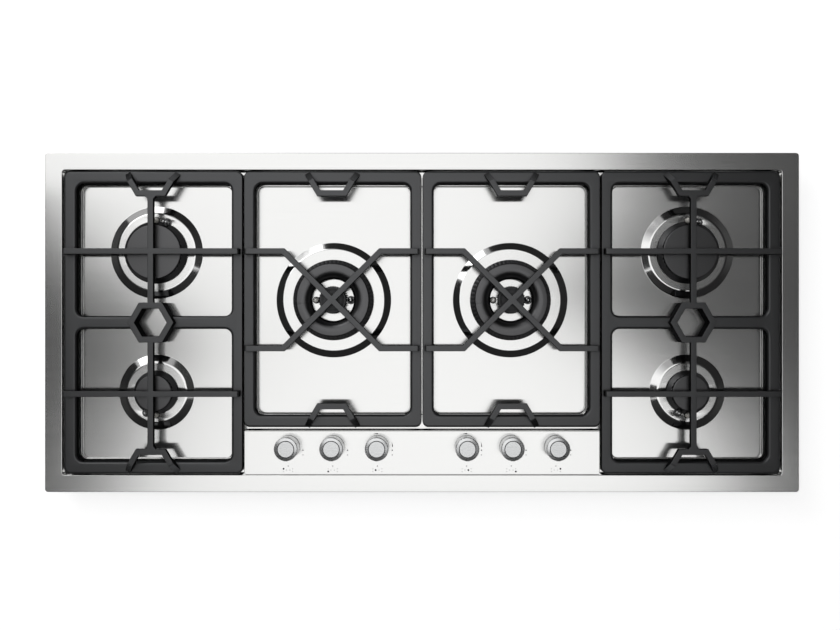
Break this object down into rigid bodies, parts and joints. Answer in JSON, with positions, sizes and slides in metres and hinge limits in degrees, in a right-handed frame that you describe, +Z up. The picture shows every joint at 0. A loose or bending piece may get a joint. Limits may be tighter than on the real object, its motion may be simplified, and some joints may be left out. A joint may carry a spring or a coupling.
{
  "type": "gas cooktop",
  "caption": "Built-in gas cooktop: steel pan, cast-iron pan supports, disc and dual-ring wok burners, and a front panel with push-and-turn knobs.",
  "frame": {"origin": "middle of the trim's outline, at the height of the casing's underside", "axes": "+X along the cooktop to the user's right, +Y towards the back, +Z up"},
  "size_m": [1.2, 0.54, 0.096],
  "materials": {
    "pan_steel": "satin, brushed along X",
    "panel_steel": "satin, brushed along X",
    "knob_steel": "satin with a bright shoulder",
    "cast_iron": "matt black vitreous enamel",
    "black_enamel": "black vitreous enamel on steel",
    "cast_aluminium": "as cast",
    "brass": "machined",
    "white_ceramic": null,
    "foam_seal": "closed-cell foam strip",
    "zinc_steel": "zinc-coated sheet steel",
    "light_plastic": "moulded"
  },
  "bodies": {
    "cooktop": {"hob_pan": "pan_steel", "control_panel": "panel_steel", "lower_casing": "zinc_steel", "worktop_seal": "foam_seal", "gas_rail": "cast_aluminium", "spark_generator": "light_plastic", "rapid_left_base": "cast_aluminium", "rapid_left_spreader": "black_enamel", "rapid_left_electrode": "white_ceramic", "rapid_left_thermocouple": "brass", "semi_left_base": "cast_aluminium", "semi_left_spreader": "black_enamel", "semi_left_electrode": "white_ceramic", "semi_left_thermocouple": "brass", "wok_left_base": "cast_aluminium", "wok_left_spreader": "black_enamel", "wok_left_electrode": "white_ceramic", "wok_left_thermocouple": "brass", "wok_right_base": "cast_aluminium", "wok_right_spreader": "black_enamel", "wok_right_electrode": "white_ceramic", "wok_right_thermocouple": "brass", "semi_right_base": "cast_aluminium", "semi_right_spreader": "black_enamel", "semi_right_electrode": "white_ceramic", "semi_right_thermocouple": "brass", "rapid_right_base": "cast_aluminium", "rapid_right_spreader": "black_enamel", "rapid_right_electrode": "white_ceramic", "rapid_right_thermocouple": "brass", "tap_1": "cast_aluminium", "tap_2": "cast_aluminium", "tap_3": "cast_aluminium", "tap_4": "cast_aluminium", "tap_5": "cast_aluminium", "tap_6": "cast_aluminium"},
    "pan_support_left": {"grate_left": "cast_iron"},
    "pan_support_centre_left": {"grate_centre_left": "cast_iron"},
    "pan_support_centre_right": {"grate_centre_right": "cast_iron"},
    "pan_support_right": {"grate_right": "cast_iron"},
    "loose_rapid_left_cap": {"rapid_left_cap": "black_enamel"},
    "loose_semi_left_cap": {"semi_left_cap": "black_enamel"},
    "loose_wok_left_ring_cap": {"wok_left_ring_cap": "black_enamel"},
    "loose_wok_left_inner_cap": {"wok_left_inner_cap": "black_enamel"},
    "loose_wok_right_ring_cap": {"wok_right_ring_cap": "black_enamel"},
    "loose_wok_right_inner_cap": {"wok_right_inner_cap": "black_enamel"},
    "loose_semi_right_cap": {"semi_right_cap": "black_enamel"},
    "loose_rapid_right_cap": {"rapid_right_cap": "black_enamel"},
    "turning_spindle_1": {"spindle_1": "brass"},
    "pushed_knob_1": {"knob_1": "knob_steel"},
    "turning_spindle_2": {"spindle_2": "brass"},
    "pushed_knob_2": {"knob_2": "knob_steel"},
    "turning_spindle_3": {"spindle_3": "brass"},
    "pushed_knob_3": {"knob_3": "knob_steel"},
    "turning_spindle_4": {"spindle_4": "brass"},
    "pushed_knob_4": {"knob_4": "knob_steel"},
    "turning_spindle_5": {"spindle_5": "brass"},
    "pushed_knob_5": {"knob_5": "knob_steel"},
    "turning_spindle_6": {"spindle_6": "brass"},
    "pushed_knob_6": {"knob_6": "knob_steel"}
  },
  "joints": [
    {"name": "grate_left_lift", "type": "slide", "parent": "cooktop", "child": "pan_support_left", "axis": [0, 0, 1], "range_m": [0, 0.12]},
    {"name": "grate_centre_left_lift", "type": "slide", "parent": "cooktop", "child": "pan_support_centre_left", "axis": [0, 0, 1], "range_m": [0, 0.12]},
    {"name": "grate_centre_right_lift", "type": "slide", "parent": "cooktop", "child": "pan_support_centre_right", "axis": [0, 0, 1], "range_m": [0, 0.12]},
    {"name": "grate_right_lift", "type": "slide", "parent": "cooktop", "child": "pan_support_right", "axis": [0, 0, 1], "range_m": [0, 0.12]},
    {"name": "rapid_left_cap_lift", "type": "slide", "parent": "cooktop", "child": "loose_rapid_left_cap", "axis": [0, 0, 1], "range_m": [0, 0.005]},
    {"name": "semi_left_cap_lift", "type": "slide", "parent": "cooktop", "child": "loose_semi_left_cap", "axis": [0, 0, 1], "range_m": [0, 0.005]},
    {"name": "wok_left_ring_cap_lift", "type": "slide", "parent": "cooktop", "child": "loose_wok_left_ring_cap", "axis": [0, 0, 1], "range_m": [0, 0.005]},
    {"name": "wok_left_inner_cap_lift", "type": "slide", "parent": "cooktop", "child": "loose_wok_left_inner_cap", "axis": [0, 0, 1], "range_m": [0, 0.005]},
    {"name": "wok_right_ring_cap_lift", "type": "slide", "parent": "cooktop", "child": "loose_wok_right_ring_cap", "axis": [0, 0, 1], "range_m": [0, 0.005]},
    {"name": "wok_right_inner_cap_lift", "type": "slide", "parent": "cooktop", "child": "loose_wok_right_inner_cap", "axis": [0, 0, 1], "range_m": [0, 0.005]},
    {"name": "semi_right_cap_lift", "type": "slide", "parent": "cooktop", "child": "loose_semi_right_cap", "axis": [0, 0, 1], "range_m": [0, 0.005]},
    {"name": "rapid_right_cap_lift", "type": "slide", "parent": "cooktop", "child": "loose_rapid_right_cap", "axis": [0, 0, 1], "range_m": [0, 0.005]},
    {"name": "knob_1_turn", "type": "hinge", "parent": "cooktop", "child": "turning_spindle_1", "pos_m": [-0.213, -0.198, 0.06], "axis": [0, 0, 1], "range_deg": [0, 210]},
    {"name": "knob_1_push", "type": "slide", "parent": "turning_spindle_1", "child": "pushed_knob_1", "axis": [0, 0, -1], "range_m": [0, 0.003], "stiffness_N_per_m": 1500, "springref_m": -0.003},
    {"name": "knob_2_turn", "type": "hinge", "parent": "cooktop", "child": "turning_spindle_2", "pos_m": [-0.142, -0.198, 0.06], "axis": [0, 0, 1], "range_deg": [0, 210]},
    {"name": "knob_2_push", "type": "slide", "parent": "turning_spindle_2", "child": "pushed_knob_2", "axis": [0, 0, -1], "range_m": [0, 0.003], "stiffness_N_per_m": 1500, "springref_m": -0.003},
    {"name": "knob_3_turn", "type": "hinge", "parent": "cooktop", "child": "turning_spindle_3", "pos_m": [-0.071, -0.198, 0.06], "axis": [0, 0, 1], "range_deg": [0, 270]},
    {"name": "knob_3_push", "type": "slide", "parent": "turning_spindle_3", "child": "pushed_knob_3", "axis": [0, 0, -1], "range_m": [0, 0.003], "stiffness_N_per_m": 1500, "springref_m": -0.003},
    {"name": "knob_4_turn", "type": "hinge", "parent": "cooktop", "child": "turning_spindle_4", "pos_m": [0.071, -0.198, 0.06], "axis": [0, 0, 1], "range_deg": [0, 270]},
    {"name": "knob_4_push", "type": "slide", "parent": "turning_spindle_4", "child": "pushed_knob_4", "axis": [0, 0, -1], "range_m": [0, 0.003], "stiffness_N_per_m": 1500, "springref_m": -0.003},
    {"name": "knob_5_turn", "type": "hinge", "parent": "cooktop", "child": "turning_spindle_5", "pos_m": [0.142, -0.198, 0.06], "axis": [0, 0, 1], "range_deg": [0, 210]},
    {"name": "knob_5_push", "type": "slide", "parent": "turning_spindle_5", "child": "pushed_knob_5", "axis": [0, 0, -1], "range_m": [0, 0.003], "stiffness_N_per_m": 1500, "springref_m": -0.003},
    {"name": "knob_6_turn", "type": "hinge", "parent": "cooktop", "child": "turning_spindle_6", "pos_m": [0.213, -0.198, 0.06], "axis": [0, 0, 1], "range_deg": [0, 210]},
    {"name": "knob_6_push", "type": "slide", "parent": "turning_spindle_6", "child": "pushed_knob_6", "axis": [0, 0, -1], "range_m": [0, 0.003], "stiffness_N_per_m": 1500, "springref_m": -0.003}
  ]
}
